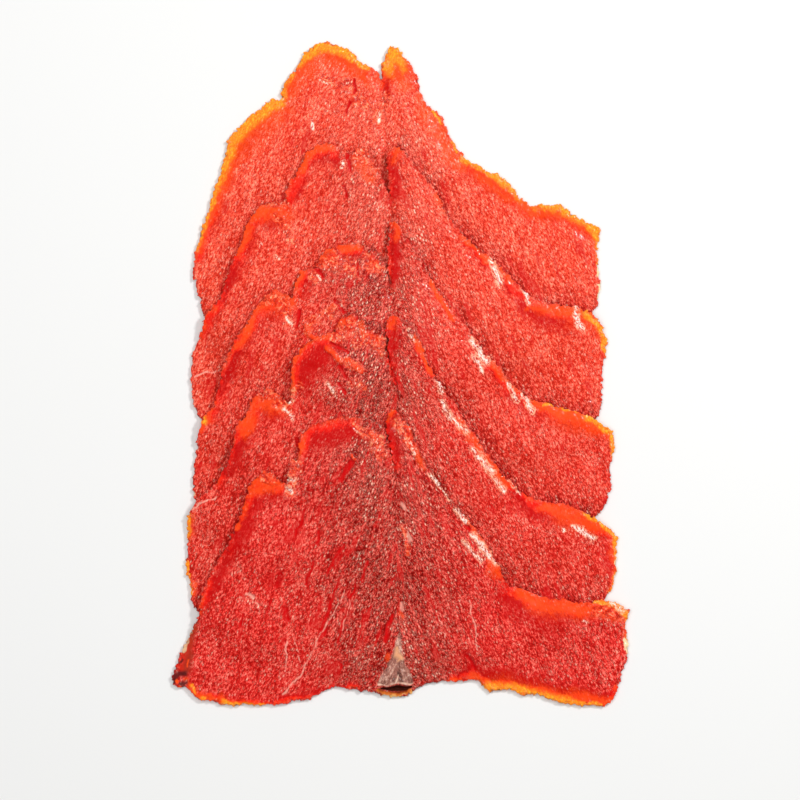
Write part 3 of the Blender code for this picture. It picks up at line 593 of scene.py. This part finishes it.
def marksOn(piece, marks, ring, coverRings):
    points = onStack(cornersOf(piece.data))
    up = np.array([vertex.normal.z for vertex in piece.data.vertices])
    loose = wander(points, *brush["broad"], marks["seed"])
    loose = wander(loose, *brush["broadEdge"], marks["seed"] + brush["edgeSeed"])
    tight = wander(points, *brush["narrow"], marks["seed"])
    masks = {
        "cutFace": ease(up * brush["cutFaceSlope"]),
        "rimDepth": np.clip(depthInside(ring, points), 0.0, brush["rimDepth"]),
        "warm": strokeMask(loose, marks["warm"] + widened(marks["amber"], brush["amberHalo"])),
        "dusk": strokeMask(loose, [seam["dusk"]]),
        "seam": strokeMask(tight, [seam["line"]]),
        "hem": np.zeros(len(points)),
    }
    for name in ("gel", "deep", "torn", "wet"):
        masks[name] = strokeMask(loose, marks[name])
    for name in ("amber", "sheen", "cream", "gash", "fold", "thread"):
        masks[name] = strokeMask(tight, marks[name])
    # painted shade: the flesh is darkened near the outline of the slice above, more strongly on the right
    for cover in coverRings[:1]:
        away = np.maximum(-depthInside(cover, loose), 0.0)
        share = np.where(points[:, 0] > 0.0, seam["hemRight"], seam["hemLeft"])
        masks["hem"] = share * np.exp(-away / seam["hemReach"])
    if marks is heelSlice:
        wedge = np.array(fatWedge["corners"])
        inWedge = depthInside(wedge, wander(points, *fatWedge["wander"], fatWedge["wanderSeed"]))
        masks["fat"] = ease(0.5 + inWedge / fatWedge["edge"])
        masks["cavity"] = strokeMask(points, fatWedge["cavity"]) * (1.0 - masks["fat"])
        for name in ("tan", "lobes", "lip"):
            masks[name] = strokeMask(tight, fatWedge[name])
        for name, strokes in scorchedTip.items():
            masks[name] = strokeMask(tight, strokes)
    return masks


def pinchNotch(piece, marks):
    # draws the crown and the spike together, so that only a crevice is left between them
    corners = cornersOf(piece.data)
    points = onStack(corners)
    line = np.array(marks["notch"])
    middle = np.interp(points[:, 1], line[::-1, 1], line[::-1, 0])
    low, high = line[-1, 1], line[0, 1]
    before, fade = relief["notchEnds"]
    along = ease((points[:, 1] - low + before) / fade) * ease((high + fade - points[:, 1]) / fade)
    offset = points[:, 0] - middle
    near = 1.0 - ease(np.abs(offset) / relief["notchReach"])
    corners[:, 0] -= offset * near * along * relief["notchPinch"] * mm
    piece.data.vertices.foreach_set("co", corners.ravel())
    piece.data.update()


def paintGroup(piece, name, weights):
    group = piece.vertex_groups.new(name=name)
    for index, weight in enumerate(weights):
        if weight > 0.002:
            group.add([index], float(weight), "REPLACE")
    return name


def displaceBy(piece, texture, reach, direction, group):
    applyModifier(piece, "DISPLACE", texture=texture, texture_coords="LOCAL", direction=direction,
                  strength=reach * mm, mid_level=0.5, vertex_group=group)


def shapeRelief(piece, masks):
    start, slope, _ = relief["gel"]
    gel = ease((masks["gel"] - start) * slope)
    rim = ease(1.0 - masks["rimDepth"] / relief["rimReach"])
    torn = ease(masks["torn"] * relief["tornSlope"])
    grainy = (1.0 - (1.0 - relief["grainOnGel"]) * gel) * (1.0 - masks.get("fat", 0.0))
    paintGroup(piece, "rim", rim)
    paintGroup(piece, "flesh", grainy * masks["cutFace"])
    paintGroup(piece, "torn", torn * masks["cutFace"])
    paintGroup(piece, "cutFace", masks["cutFace"])
    paintGroup(piece, "ragged", rim * np.maximum(relief["plainRag"], torn))
    for size, reach, group in relief["rimTeeth"]:
        for axis, basis in (("X", "IMPROVED_PERLIN"), ("Y", "ORIGINAL_PERLIN")):
            teeth = cloudTexture(piece.name + "Teeth" + axis, size, basis, 2)
            displaceBy(piece, teeth, reach, axis, group)
    for label, group, direction in (("scallops", "rim", "NORMAL"), ("lumps", "cutFace", "Z"),
                                    ("crumbs", "torn", "NORMAL"), ("grain", "flesh", "NORMAL")):
        size, reach = relief[label]
        basis = "VORONOI_F1" if label == "scallops" else "IMPROVED_PERLIN"
        bumps = cloudTexture(piece.name + label.capitalize(), size, basis, 1)
        displaceBy(piece, bumps, reach, direction, group)
    corners = cornersOf(piece.data)
    for label in ("gel", "gash", "fold", "seam", "cavity"):
        if label in masks:
            start, slope, height = relief[label]
            corners[:, 2] += height * ease((masks[label] - start) * slope) * masks["cutFace"] * mm
    piece.data.vertices.foreach_set("co", corners.ravel())
    piece.data.update()
    piece.vertex_groups.clear()


def storeMasks(piece, masks):
    # what the material reads
    for name in sorted(set(masks) - {"cutFace", "seam"}):
        layer = piece.data.attributes.new(name, "FLOAT", "POINT")
        layer.data.foreach_set("value", masks[name].astype(np.float32))


# Shader building

def newGroup(name, inputs, outputs):
    group = bpy.data.node_groups.new(name, "ShaderNodeTree")
    for socketName, kind, value in inputs:
        socket = group.interface.new_socket(socketName, in_out="INPUT", socket_type=kind)
        if value is not None:
            socket.default_value = value
    for socketName, kind in outputs:
        group.interface.new_socket(socketName, in_out="OUTPUT", socket_type=kind)
    return group, group.nodes.new("NodeGroupInput"), group.nodes.new("NodeGroupOutput")


def feed(tree, socket, source):
    # a socket takes another node's output, or a fixed value
    if isinstance(source, bpy.types.NodeSocket):
        tree.links.new(source, socket)
    elif source is not None:
        socket.default_value = source


def maths(tree, operation, a, b=None, c=None):
    node = tree.nodes.new("ShaderNodeMath")
    node.operation = operation
    for socket, source in zip(node.inputs, (a, b, c)):
        feed(tree, socket, source)
    return node.outputs[0]


def blendColour(tree, factor, a, b):
    node = tree.nodes.new("ShaderNodeMix")
    node.data_type = "RGBA"
    feed(tree, node.inputs[0], factor)
    for socket, source in zip((node.inputs[6], node.inputs[7]), (a, b)):
        feed(tree, socket, (*source, 1.0) if isinstance(source, tuple) else source)
    return node.outputs[2]


def noiseOf(tree, vector, size, detail=2.0, roughness=0.5, distortion=0.0):
    # size is the pattern's length in millimetres
    node = tree.nodes.new("ShaderNodeTexNoise")
    feed(tree, node.inputs["Vector"], vector)
    node.inputs["Scale"].default_value = 1.0 / (size * mm)
    node.inputs["Detail"].default_value = detail
    node.inputs["Roughness"].default_value = roughness
    node.inputs["Distortion"].default_value = distortion
    return node.outputs["Fac"]


def rampOf(tree, source, low, high):
    # 0 below low, 1 above high, smooth between
    node = tree.nodes.new("ShaderNodeMapRange")
    node.interpolation_type = "SMOOTHSTEP"
    feed(tree, node.inputs["Value"], source)
    feed(tree, node.inputs["From Min"], low)
    feed(tree, node.inputs["From Max"], high)
    return node.outputs["Result"]


def attributeOf(tree, name):
    node = tree.nodes.new("ShaderNodeAttribute")
    node.attribute_name = name
    return node.outputs["Fac"]


# Sizes are in millimetres, and thresholds are on noise of 0 to 1
muscle = {
    "tear": 2.2,                   # the noise that tears a mark's edge
    "slant": 0.32,                 # how far the grain leans down and away from the lateral line
    "sides": 0.04,                 # keeps the two sides' patterns apart, in metres
    "fibre": 0.55, "long": 0.12,   # how far along the grain the patterns are drawn out
    "grain": 0.5, "strand": 0.55, "glint": 0.72, "part": 0.8, "streak": 1.9, "patch": 7.0,
    "strandWidth": 0.035, "strandShown": (0.50, 0.57), "strandHeight": 0.3,
    "glintSize": (0.42, 0.06), "glintShown": (0.56, 1.0), "glintBunching": 0.8,
    "bunching": 0.5, "moreWhereWet": 0.4,
}


def buildRaggedEdge():
    # turns a soft stroke into a patch with a torn edge
    group, given, result = newGroup(
        "raggedEdge",
        [("Mask", "NodeSocketFloat", 0.0), ("Vector", "NodeSocketVector", None),
         ("Tear", "NodeSocketFloat", 0.35), ("Softness", "NodeSocketFloat", 0.12)],
        [("Patch", "NodeSocketFloat")])
    coarse = noiseOf(group, given.outputs["Vector"], muscle["tear"], detail=4.0, roughness=0.65)
    shift = maths(group, "MULTIPLY", maths(group, "SUBTRACT", coarse, 0.5), given.outputs["Tear"])
    torn = maths(group, "ADD", given.outputs["Mask"], shift)
    low = maths(group, "SUBTRACT", 0.5, given.outputs["Softness"])
    high = maths(group, "ADD", 0.5, given.outputs["Softness"])
    group.links.new(rampOf(group, torn, low, high), result.inputs["Patch"])
    return group


def buildFleshGrain():
    # the cut muscle: fine wet grains, pinpoint glints, short pale strands and streaks, all drawn out
    # down and away from the lateral line
    group, given, result = newGroup(
        "fleshGrain",
        [("Vector", "NodeSocketVector", None), ("Wet", "NodeSocketFloat", 0.0)],
        [(name, "NodeSocketFloat") for name in ("Grain", "Glint", "Strand", "Streak", "Patch", "Height")])
    vector = given.outputs["Vector"]
    place = group.nodes.new("ShaderNodeSeparateXYZ")
    group.links.new(vector, place.inputs[0])
    sideways = maths(group, "SUBTRACT", place.outputs["X"], stack["lateralLineX"] * mm)
    across = maths(group, "MULTIPLY_ADD", place.outputs["Y"], muscle["slant"],
                   maths(group, "ABSOLUTE", sideways))
    height = maths(group, "MULTIPLY_ADD", maths(group, "SIGN", sideways), muscle["sides"],
                   place.outputs["Z"])
    drawnOut = []
    for stretch in (muscle["fibre"], muscle["long"]):
        joined = group.nodes.new("ShaderNodeCombineXYZ")
        group.links.new(across, joined.inputs["X"])
        group.links.new(maths(group, "MULTIPLY", place.outputs["Y"], stretch), joined.inputs["Y"])
        group.links.new(height, joined.inputs["Z"])
        drawnOut.append(joined.outputs["Vector"])
    fibre, long = drawnOut
    fine = noiseOf(group, fibre, muscle["grain"], detail=3.0, roughness=0.7, distortion=0.4)
    loop = noiseOf(group, fibre, muscle["strand"], detail=1.0, distortion=1.2)
    offLoop = maths(group, "ABSOLUTE", maths(group, "SUBTRACT", loop, 0.5))
    line = rampOf(group, offLoop, muscle["strandWidth"], 0.0)
    cells = group.nodes.new("ShaderNodeTexVoronoi")
    group.links.new(fibre, cells.inputs["Vector"])
    cells.inputs["Scale"].default_value = 1.0 / (muscle["glint"] * mm)
    chance = group.nodes.new("ShaderNodeSeparateXYZ")
    group.links.new(cells.outputs["Color"], chance.inputs[0])
    part = noiseOf(group, fibre, muscle["part"], detail=1.0)
    patch = noiseOf(group, vector, muscle["patch"], detail=3.0, roughness=0.6)
    shown = maths(group, "MULTIPLY_ADD", maths(group, "SUBTRACT", patch, 0.5), muscle["bunching"], part)
    shown = maths(group, "MULTIPLY_ADD", given.outputs["Wet"], muscle["moreWhereWet"], shown)
    strand = maths(group, "MULTIPLY", line, rampOf(group, shown, *muscle["strandShown"]))
    lit = maths(group, "MULTIPLY_ADD", maths(group, "SUBTRACT", shown, 0.5), muscle["glintBunching"],
                chance.outputs["X"])
    glint = maths(group, "MULTIPLY", rampOf(group, cells.outputs["Distance"], *muscle["glintSize"]),
                  rampOf(group, lit, *muscle["glintShown"]))
    streak = noiseOf(group, long, muscle["streak"], detail=3.0, roughness=0.6, distortion=0.3)
    raised = maths(group, "MULTIPLY_ADD", line, muscle["strandHeight"], fine)
    for name, source in (("Grain", fine), ("Glint", glint), ("Strand", strand), ("Streak", streak),
                         ("Patch", patch), ("Height", raised)):
        group.links.new(source, result.inputs[name])
    return group


def placeGroup(tree, group, **inputs):
    node = tree.nodes.new("ShaderNodeGroup")
    node.node_tree = group
    for name, source in inputs.items():
        feed(tree, node.inputs[name], source)
    return node


colours = {
    "heelFlesh": [(0.40, 0.004, 0.003), (0.76, 0.023, 0.017), (1.0, 0.172, 0.132)],
    "tailFlesh": [(0.66, 0.020, 0.007), (0.98, 0.084, 0.043), (1.0, 0.310, 0.185)],
    "duskFlesh": [(0.18, 0.002, 0.001), (0.48, 0.014, 0.010), (0.90, 0.150, 0.110)],
    "strand": (1.0, 0.44, 0.32),
    "glint": (1.0, 0.72, 0.54),
    "jelly": [(0.55, 0.004, 0.004), (0.86, 0.015, 0.007), (0.94, 0.055, 0.010)],
    "warm": (0.97, 0.080, 0.010),
    "amber": [(0.95, 0.13, 0.012), (1.0, 0.27, 0.016), (1.0, 0.52, 0.035)],
    "torn": [(0.48, 0.006, 0.004), (0.94, 0.066, 0.020), (1.0, 0.400, 0.200)],
    # sheen: painted highlights, pink at their edge and near white in their core
    "sheen": [(0.98, 0.46, 0.28), (1.0, 0.92, 0.82)],
    "gash": (0.60, 0.004, 0.005),
    "thread": (0.95, 0.44, 0.34),
    "cream": (0.98, 0.66, 0.38),
    "fat": [(0.13, 0.050, 0.040), (0.40, 0.155, 0.115), (0.78, 0.46, 0.36)],
    "tan": (0.84, 0.40, 0.20),
    "edge": (0.98, 0.64, 0.48),
    # painted shade in the hollow under the fat wedge
    "cavity": (0.045, 0.006, 0.003),
    "lip": [(0.20, 0.020, 0.004), (0.66, 0.15, 0.022), (0.95, 0.50, 0.16)],
    "scorch": (0.080, 0.012, 0.012),
    "maroon": (0.34, 0.030, 0.013),
    "ember": (0.97, 0.080, 0.010),
}

# Each mark's paint: how far its edge is torn, how soft the edge is and how strongly it covers
paint = {
    "gel": (0.9, 0.4, 0.94), "warm": (0.5, 0.35, 0.6), "deep": (0.6, 0.4, 0.6), "torn": (0.8, 0.3, 0.8),
    "amber": (0.8, 0.3, 1.0), "gash": (0.5, 0.25, 1.0), "fold": (0.5, 0.25, 1.0),
    "thread": (1.3, 0.35, 0.7), "sheen": (1.1, 0.15, 0.85), "cream": (0.6, 0.2, 1.0),
    "lip": (0.4, 0.2, 1.0), "cavity": (0.2, 0.15, 1.0), "maroon": (0.7, 0.4, 0.75),
    "scorch": (0.9, 0.4, 0.9), "ember": (0.6, 0.3, 1.0),
}

# Pairs are where a blend starts and ends, on noise of 0 to 1, and the other numbers are shares
finish = {
    "wetTorn": 0.8, "wetDusk": 0.3,
    "streakInFlesh": 0.35, "fleshTones": (0.40, 0.66), "duskTones": (0.41, 0.66), "duskFrom": (0.15, 0.9),
    "bareFrom": (0.33, 0.42), "barePatches": -0.5, "bareShare": 0.7, "barePlain": 0.8,
    "rimFall": -0.24, "rimPatches": 1.2, "rimWarm": 0.3, "rimTones": (0.1, 1.05),
    "ripeGrain": 1.2, "ripeFrom": (0.85, 1.7), "ripeShare": 0.75,
    "crumb": 1.4, "crumbTones": (0.42, 0.66), "driedWithin": (2.0, 4.5), "driedTones": (0.3, 0.7),
    "strandShare": 0.7, "strandOffPlain": 0.85, "glintOffPlain": 0.75, "glintDry": 0.5, "glintWet": 0.5,
    "sheenGrain": (0.40, 0.58), "sheenStreak": 0.8, "sheenFine": 0.6, "sheenCore": (1.3, 1.7),
    "fatTones": (0.40, 0.62), "tanFrom": (0.5, 1.5), "tanShare": 0.9, "fatGlint": 0.7,
    "lobeFrom": (0.1, 0.9), "lobeShare": 0.85, "lipFall": -0.5, "lipTones": (-0.4, 0.4),
    "roughness": 0.3, "roughGrain": 0.2, "gelGloss": 0.4, "bump": 0.07, "bumpOffGel": 0.5,
    "coat": 0.2, "coatOnGel": 0.3, "coatRoughness": 0.08, "specular": 0.1,
    "glow": 0.15, "glowRadius": (1.0, 0.22, 0.12), "glowScale": 1.0,
}


def halfway(a, b, share):
    return tuple(x + (y - x) * share for x, y in zip(a, b))


def threeTone(tree, value, tones, low, high):
    dark, middle, light = tones
    half = (low + high) / 2
    colour = blendColour(tree, rampOf(tree, value, low, half), dark, middle)
    return blendColour(tree, rampOf(tree, value, half, high), colour, light)


def scaled(tree, value, factor):
    return maths(tree, "MULTIPLY", value, factor)


def without(tree, value, mask, share=1.0):
    # the value, taken away where the mask is
    return maths(tree, "MULTIPLY", value, maths(tree, "MULTIPLY_ADD", mask, -share, 1.0))


def buildFlesh(marks, raggedEdge, fleshGrain):
    material = bpy.data.materials.new(marks["node"] + "_flesh")
    material.use_nodes = True
    tree = material.node_tree
    shader = tree.nodes["Principled BSDF"]
    vector = tree.nodes.new("ShaderNodeTexCoord").outputs["Object"]

    def patchOf(name):
        tear, softness, _ = paint[name]
        return placeGroup(tree, raggedEdge, Mask=attributeOf(tree, name), Vector=vector, Tear=tear,
                          Softness=softness).outputs["Patch"]

    def painted(colour, name, tone, patch=None):
        cover = scaled(tree, patch or patchOf(name), paint[name][2])
        return blendColour(tree, cover, colour, tone)

    def added(value, share, rest):
        return maths(tree, "MULTIPLY_ADD", value, share, rest)

    wet = maths(tree, "MAXIMUM", attributeOf(tree, "sheen"),
                scaled(tree, attributeOf(tree, "torn"), finish["wetTorn"]))
    wet = maths(tree, "MAXIMUM", wet, scaled(tree, attributeOf(tree, "dusk"), finish["wetDusk"]))
    wet = maths(tree, "MAXIMUM", wet, attributeOf(tree, "wet"))
    grain = placeGroup(tree, fleshGrain, Vector=vector, Wet=wet)
    fine, glint, strand, streak, spread = (grain.outputs[name] for name in
                                           ("Grain", "Glint", "Strand", "Streak", "Patch"))
    rimDepth = attributeOf(tree, "rimDepth")
    gel = patchOf("gel")
    warm = patchOf("warm")

    # the cut muscle
    value = added(maths(tree, "SUBTRACT", streak, 0.5), finish["streakInFlesh"], fine)
    tones = [halfway(heel, tail, marks["tail"])
             for heel, tail in zip(colours["heelFlesh"], colours["tailFlesh"])]
    # the darker flesh, and the painted shade beside the slice above, both take the dark tones
    dusk = scaled(tree, rampOf(tree, attributeOf(tree, "dusk"), *finish["duskFrom"]), marks["dusk"])
    dusk = maths(tree, "MAXIMUM", dusk, attributeOf(tree, "hem"))
    colour = blendColour(tree, dusk, threeTone(tree, value, tones, *finish["fleshTones"]),
                         threeTone(tree, value, colours["duskFlesh"], *finish["duskTones"]))
    bare = rampOf(tree, added(spread, finish["barePatches"], streak), *finish["bareFrom"])
    colour = blendColour(tree, scaled(tree, bare, finish["bareShare"]), colour, colours["gash"])
    colour = painted(colour, "warm", colours["warm"], warm)

    # jelly-like and dried rims
    toEdge = added(rimDepth, finish["rimFall"], maths(tree, "ADD", fine, streak))
    toEdge = added(maths(tree, "SUBTRACT", spread, 0.5), finish["rimPatches"], toEdge)
    toEdge = added(warm, finish["rimWarm"], toEdge)
    toEdge = added(patchOf("deep"), -paint["deep"][2], toEdge)
    jelly = threeTone(tree, toEdge, colours["jelly"], *finish["rimTones"])
    ripe = rampOf(tree, added(fine, finish["ripeGrain"], attributeOf(tree, "warm")), *finish["ripeFrom"])
    jelly = blendColour(tree, scaled(tree, ripe, finish["ripeShare"]), jelly, colours["warm"])
    colour = painted(colour, "gel", jelly, gel)
    crumb = noiseOf(tree, vector, finish["crumb"], detail=4.0, roughness=0.65, distortion=0.8)
    colour = painted(colour, "torn", threeTone(tree, crumb, colours["torn"], *finish["crumbTones"]))
    dried = without(tree, patchOf("amber"), rampOf(tree, rimDepth, *finish["driedWithin"]))
    amber = threeTone(tree, fine, colours["amber"], *finish["driedTones"])
    colour = painted(colour, "amber", amber, dried)

    # cuts, tissue and wet patches
    cut = patchOf("gash")
    colour = painted(colour, "gash", colours["gash"], cut)
    colour = painted(colour, "fold", colours["jelly"][2])
    colour = painted(colour, "thread", colours["thread"])
    plain = maths(tree, "MAXIMUM", cut, scaled(tree, bare, finish["barePlain"]))
    plain = maths(tree, "MAXIMUM", gel, plain)
    strand = without(tree, strand, plain, finish["strandOffPlain"])
    colour = blendColour(tree, scaled(tree, strand, finish["strandShare"]), colour, colours["strand"])
    glint = without(tree, glint, plain, finish["glintOffPlain"])
    glint = maths(tree, "MULTIPLY", glint, added(wet, finish["glintWet"], finish["glintDry"]))
    colour = blendColour(tree, glint, colour, colours["glint"])
    # painted highlights on the wet slopes, streaky and near white in their core
    glaze = maths(tree, "MULTIPLY", patchOf("sheen"), rampOf(tree, fine, *finish["sheenGrain"]))
    core = added(fine, finish["sheenFine"], attributeOf(tree, "sheen"))
    core = rampOf(tree, added(streak, finish["sheenStreak"], core), *finish["sheenCore"])
    colour = painted(colour, "sheen", blendColour(tree, core, *colours["sheen"]), glaze)
    colour = painted(colour, "cream", colours["cream"])
    if marks is heelSlice:
        lobed = scaled(tree, maths(tree, "ADD", streak, fine), 0.5)
        lobed = threeTone(tree, lobed, colours["fat"], *finish["fatTones"])
        tan = maths(tree, "ADD", attributeOf(tree, "tan"), streak)
        tan = scaled(tree, rampOf(tree, tan, *finish["tanFrom"]), finish["tanShare"])
        lobed = blendColour(tree, tan, lobed, colours["tan"])
        lobed = blendColour(tree, scaled(tree, glint, finish["fatGlint"]), lobed, colours["sheen"][1])
        edges = rampOf(tree, attributeOf(tree, "lobes"), *finish["lobeFrom"])
        lobed = blendColour(tree, scaled(tree, edges, finish["lobeShare"]), lobed, colours["edge"])
        lip = added(rimDepth, finish["lipFall"], streak)
        colour = painted(colour, "lip", threeTone(tree, lip, colours["lip"], *finish["lipTones"]))
        # painted shade in the hollow under the fat wedge's lips
        colour = painted(colour, "cavity", colours["cavity"])
        colour = blendColour(tree, attributeOf(tree, "fat"), colour, lobed)
        for name in ("maroon", "scorch", "ember"):
            colour = painted(colour, name, colours[name])
    tree.links.new(colour, shader.inputs["Base Color"])

    rough = added(fine, finish["roughGrain"], finish["roughness"])
    tree.links.new(without(tree, rough, gel, finish["gelGloss"]), shader.inputs["Roughness"])
    bump = tree.nodes.new("ShaderNodeBump")
    bump.inputs["Distance"].default_value = finish["bump"] * mm
    height = without(tree, grain.outputs["Height"], gel, finish["bumpOffGel"])
    tree.links.new(height, bump.inputs["Height"])
    tree.links.new(bump.outputs["Normal"], shader.inputs["Normal"])
    tree.links.new(added(gel, finish["coatOnGel"], finish["coat"]), shader.inputs["Coat Weight"])

    shader.inputs["Coat Roughness"].default_value = finish["coatRoughness"]
    shader.inputs["Specular IOR Level"].default_value = finish["specular"]
    shader.inputs["Subsurface Weight"].default_value = finish["glow"]
    shader.inputs["Subsurface Radius"].default_value = finish["glowRadius"]
    shader.inputs["Subsurface Scale"].default_value = finish["glowScale"] * mm
    return material


# Stage, lights and camera

studio = {
    "viewCentre": (0.9, 92.1),  # the picture's middle, on the stack
    "viewWidth": 240.0, "cameraHeight": 1200.0, "cameraReach": 10.0, "sensor": 36.0,
    "floorSize": 3.0, "floorColour": (0.80, 0.80, 0.79, 1.0), "floorRoughness": 0.6,
    "keyPlace": (0.5, 0.42, 0.72), "keySize": 0.14, "keyPower": 5.2,
    "softPlace": (-0.15, 0.1, 1.1), "softSize": 1.0, "softPower": 9.4,
    "ambient": 0.21,
}


def buildStage():
    bpy.ops.mesh.primitive_plane_add(size=studio["floorSize"], location=(0.0, 0.0, 0.0))
    floor = bpy.context.object
    floor.name = "paleFloor"
    material = bpy.data.materials.new("paleFloor")
    material.use_nodes = True
    shader = material.node_tree.nodes["Principled BSDF"]
    shader.inputs["Base Color"].default_value = studio["floorColour"]
    shader.inputs["Roughness"].default_value = studio["floorRoughness"]
    floor.data.materials.append(material)


def addLight(name, place, size, power):
    light = bpy.data.lights.new(name, "AREA")
    light.shape = "DISK"
    light.size = size
    light.energy = power
    lamp = bpy.data.objects.new(name, light)
    bpy.context.scene.collection.objects.link(lamp)
    lamp.location = place
    lamp.rotation_euler = (-lamp.location).to_track_quat("-Z", "Y").to_euler()
    return lamp


def buildStudio():
    scene = bpy.context.scene
    world = bpy.data.worlds.new("studio")
    scene.world = world
    world.use_nodes = True
    background = world.node_tree.nodes["Background"]
    background.inputs["Color"].default_value = (1.0, 1.0, 1.0, 1.0)
    background.inputs["Strength"].default_value = studio["ambient"]
    world.cycles_visibility.glossy = False  # the gloss shows the key light only
    addLight("keyLight", studio["keyPlace"], studio["keySize"], studio["keyPower"])
    softLight = addLight("softLight", studio["softPlace"], studio["softSize"], studio["softPower"])
    softLight.visible_glossy = False
    scene.view_settings.view_transform = "Standard"

    camera = bpy.data.cameras.new("camera")
    camera.sensor_width = studio["sensor"]
    camera.lens = studio["sensor"] * studio["cameraHeight"] / studio["viewWidth"]
    camera.clip_end = studio["cameraReach"]
    holder = bpy.data.objects.new("camera", camera)
    scene.collection.objects.link(holder)
    x, y = studio["viewCentre"]
    holder.location = ((x + stack["lateralLineX"]) * mm, (y + lowEdgeY) * mm,
                       studio["cameraHeight"] * mm)
    scene.camera = holder


def build():
    pieces = [freshCopy(marks["node"], marks["node"] + "_flesh") for marks in slices]
    rings = [rimOf(piece.data) for piece in pieces]
    raggedEdge, fleshGrain = buildRaggedEdge(), buildFleshGrain()
    for number, (piece, marks) in enumerate(zip(pieces, slices)):
        buildSlice(piece, marks, rings[number], rings[number + 1:])
        piece.data.materials.append(buildFlesh(marks, raggedEdge, fleshGrain))
        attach(piece, "root")
        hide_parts(marks["node"])
        print(piece.name, len(piece.data.polygons), "faces")
    buildStage()
    buildStudio()
    print("studio built")


build()
